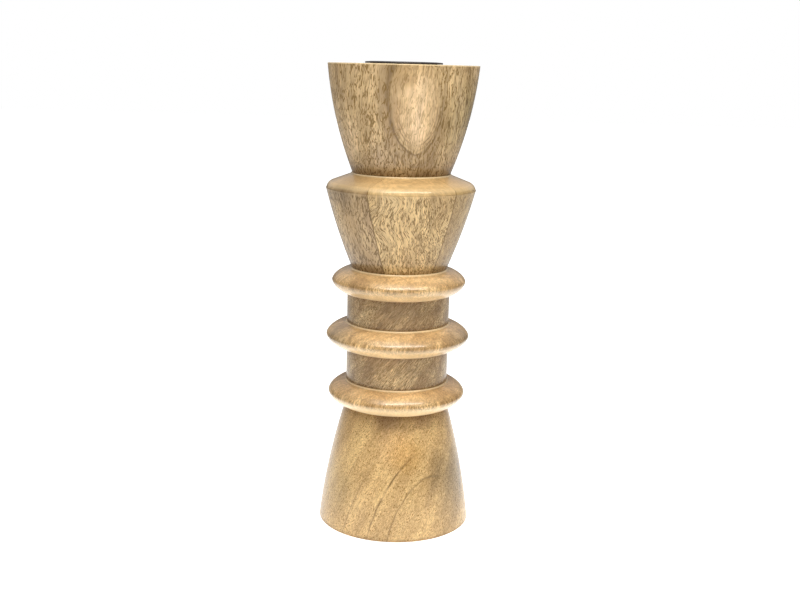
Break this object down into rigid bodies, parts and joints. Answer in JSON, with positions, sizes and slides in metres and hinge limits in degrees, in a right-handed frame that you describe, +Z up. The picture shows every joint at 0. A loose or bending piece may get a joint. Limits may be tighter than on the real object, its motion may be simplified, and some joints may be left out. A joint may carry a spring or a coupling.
{
  "type": "candlestick",
  "caption": "Free-standing turned wooden altar candlestick: flared base, beads and collars, shouldered cone and flared bowl, with a lift-out black metal candle cup.",
  "frame": {"origin": "on the candlestick's axis, in the plane that it stands on, the felt pad's underside", "axes": "+Z up along the turning axis; -Y is the side that the picture shows"},
  "size_m": [0.1012, 0.1012, 0.3051],
  "materials": {
    "bowl_wood": "satin clear lacquer on mango wood, dark pore flecks, flame figure",
    "board_wood_brown": "satin clear lacquer on grey-brown mango wood",
    "board_wood_pale": "satin clear lacquer on pale yellow mango wood, slanting pore flecks",
    "board_wood_tan": "satin clear lacquer on tan mango wood, fine grain",
    "ring_wood": "polished clear lacquer on golden mango wood",
    "neck_wood": "satin clear lacquer on brown mango wood, slanting light flecks",
    "base_wood": "satin clear lacquer on mango wood, slanting growth lines",
    "black_metal": "satin black enamel on pressed steel",
    "zinc_steel": "zinc-plated",
    "felt": "dark green wool felt"
  },
  "bodies": {
    "stand": {"base": "base_wood", "lower_ring": "ring_wood", "lower_neck": "neck_wood", "middle_ring": "ring_wood", "upper_neck": "neck_wood", "upper_ring": "ring_wood", "cone_board_back": "board_wood_brown", "cone_board_front": "board_wood_pale", "cone_board_right": "board_wood_tan", "bowl": "bowl_wood", "tie_rod": "zinc_steel", "bottom_nut": "zinc_steel", "bottom_washer": "zinc_steel", "top_nut": "zinc_steel", "top_washer": "zinc_steel", "felt_pad": "felt"},
    "cup": {"candle_cup": "black_metal"}
  },
  "joints": [
    {"name": "cup_lift", "type": "slide", "parent": "stand", "child": "cup", "axis": [0, 0, 1], "range_m": [0, 0.032]}
  ]
}
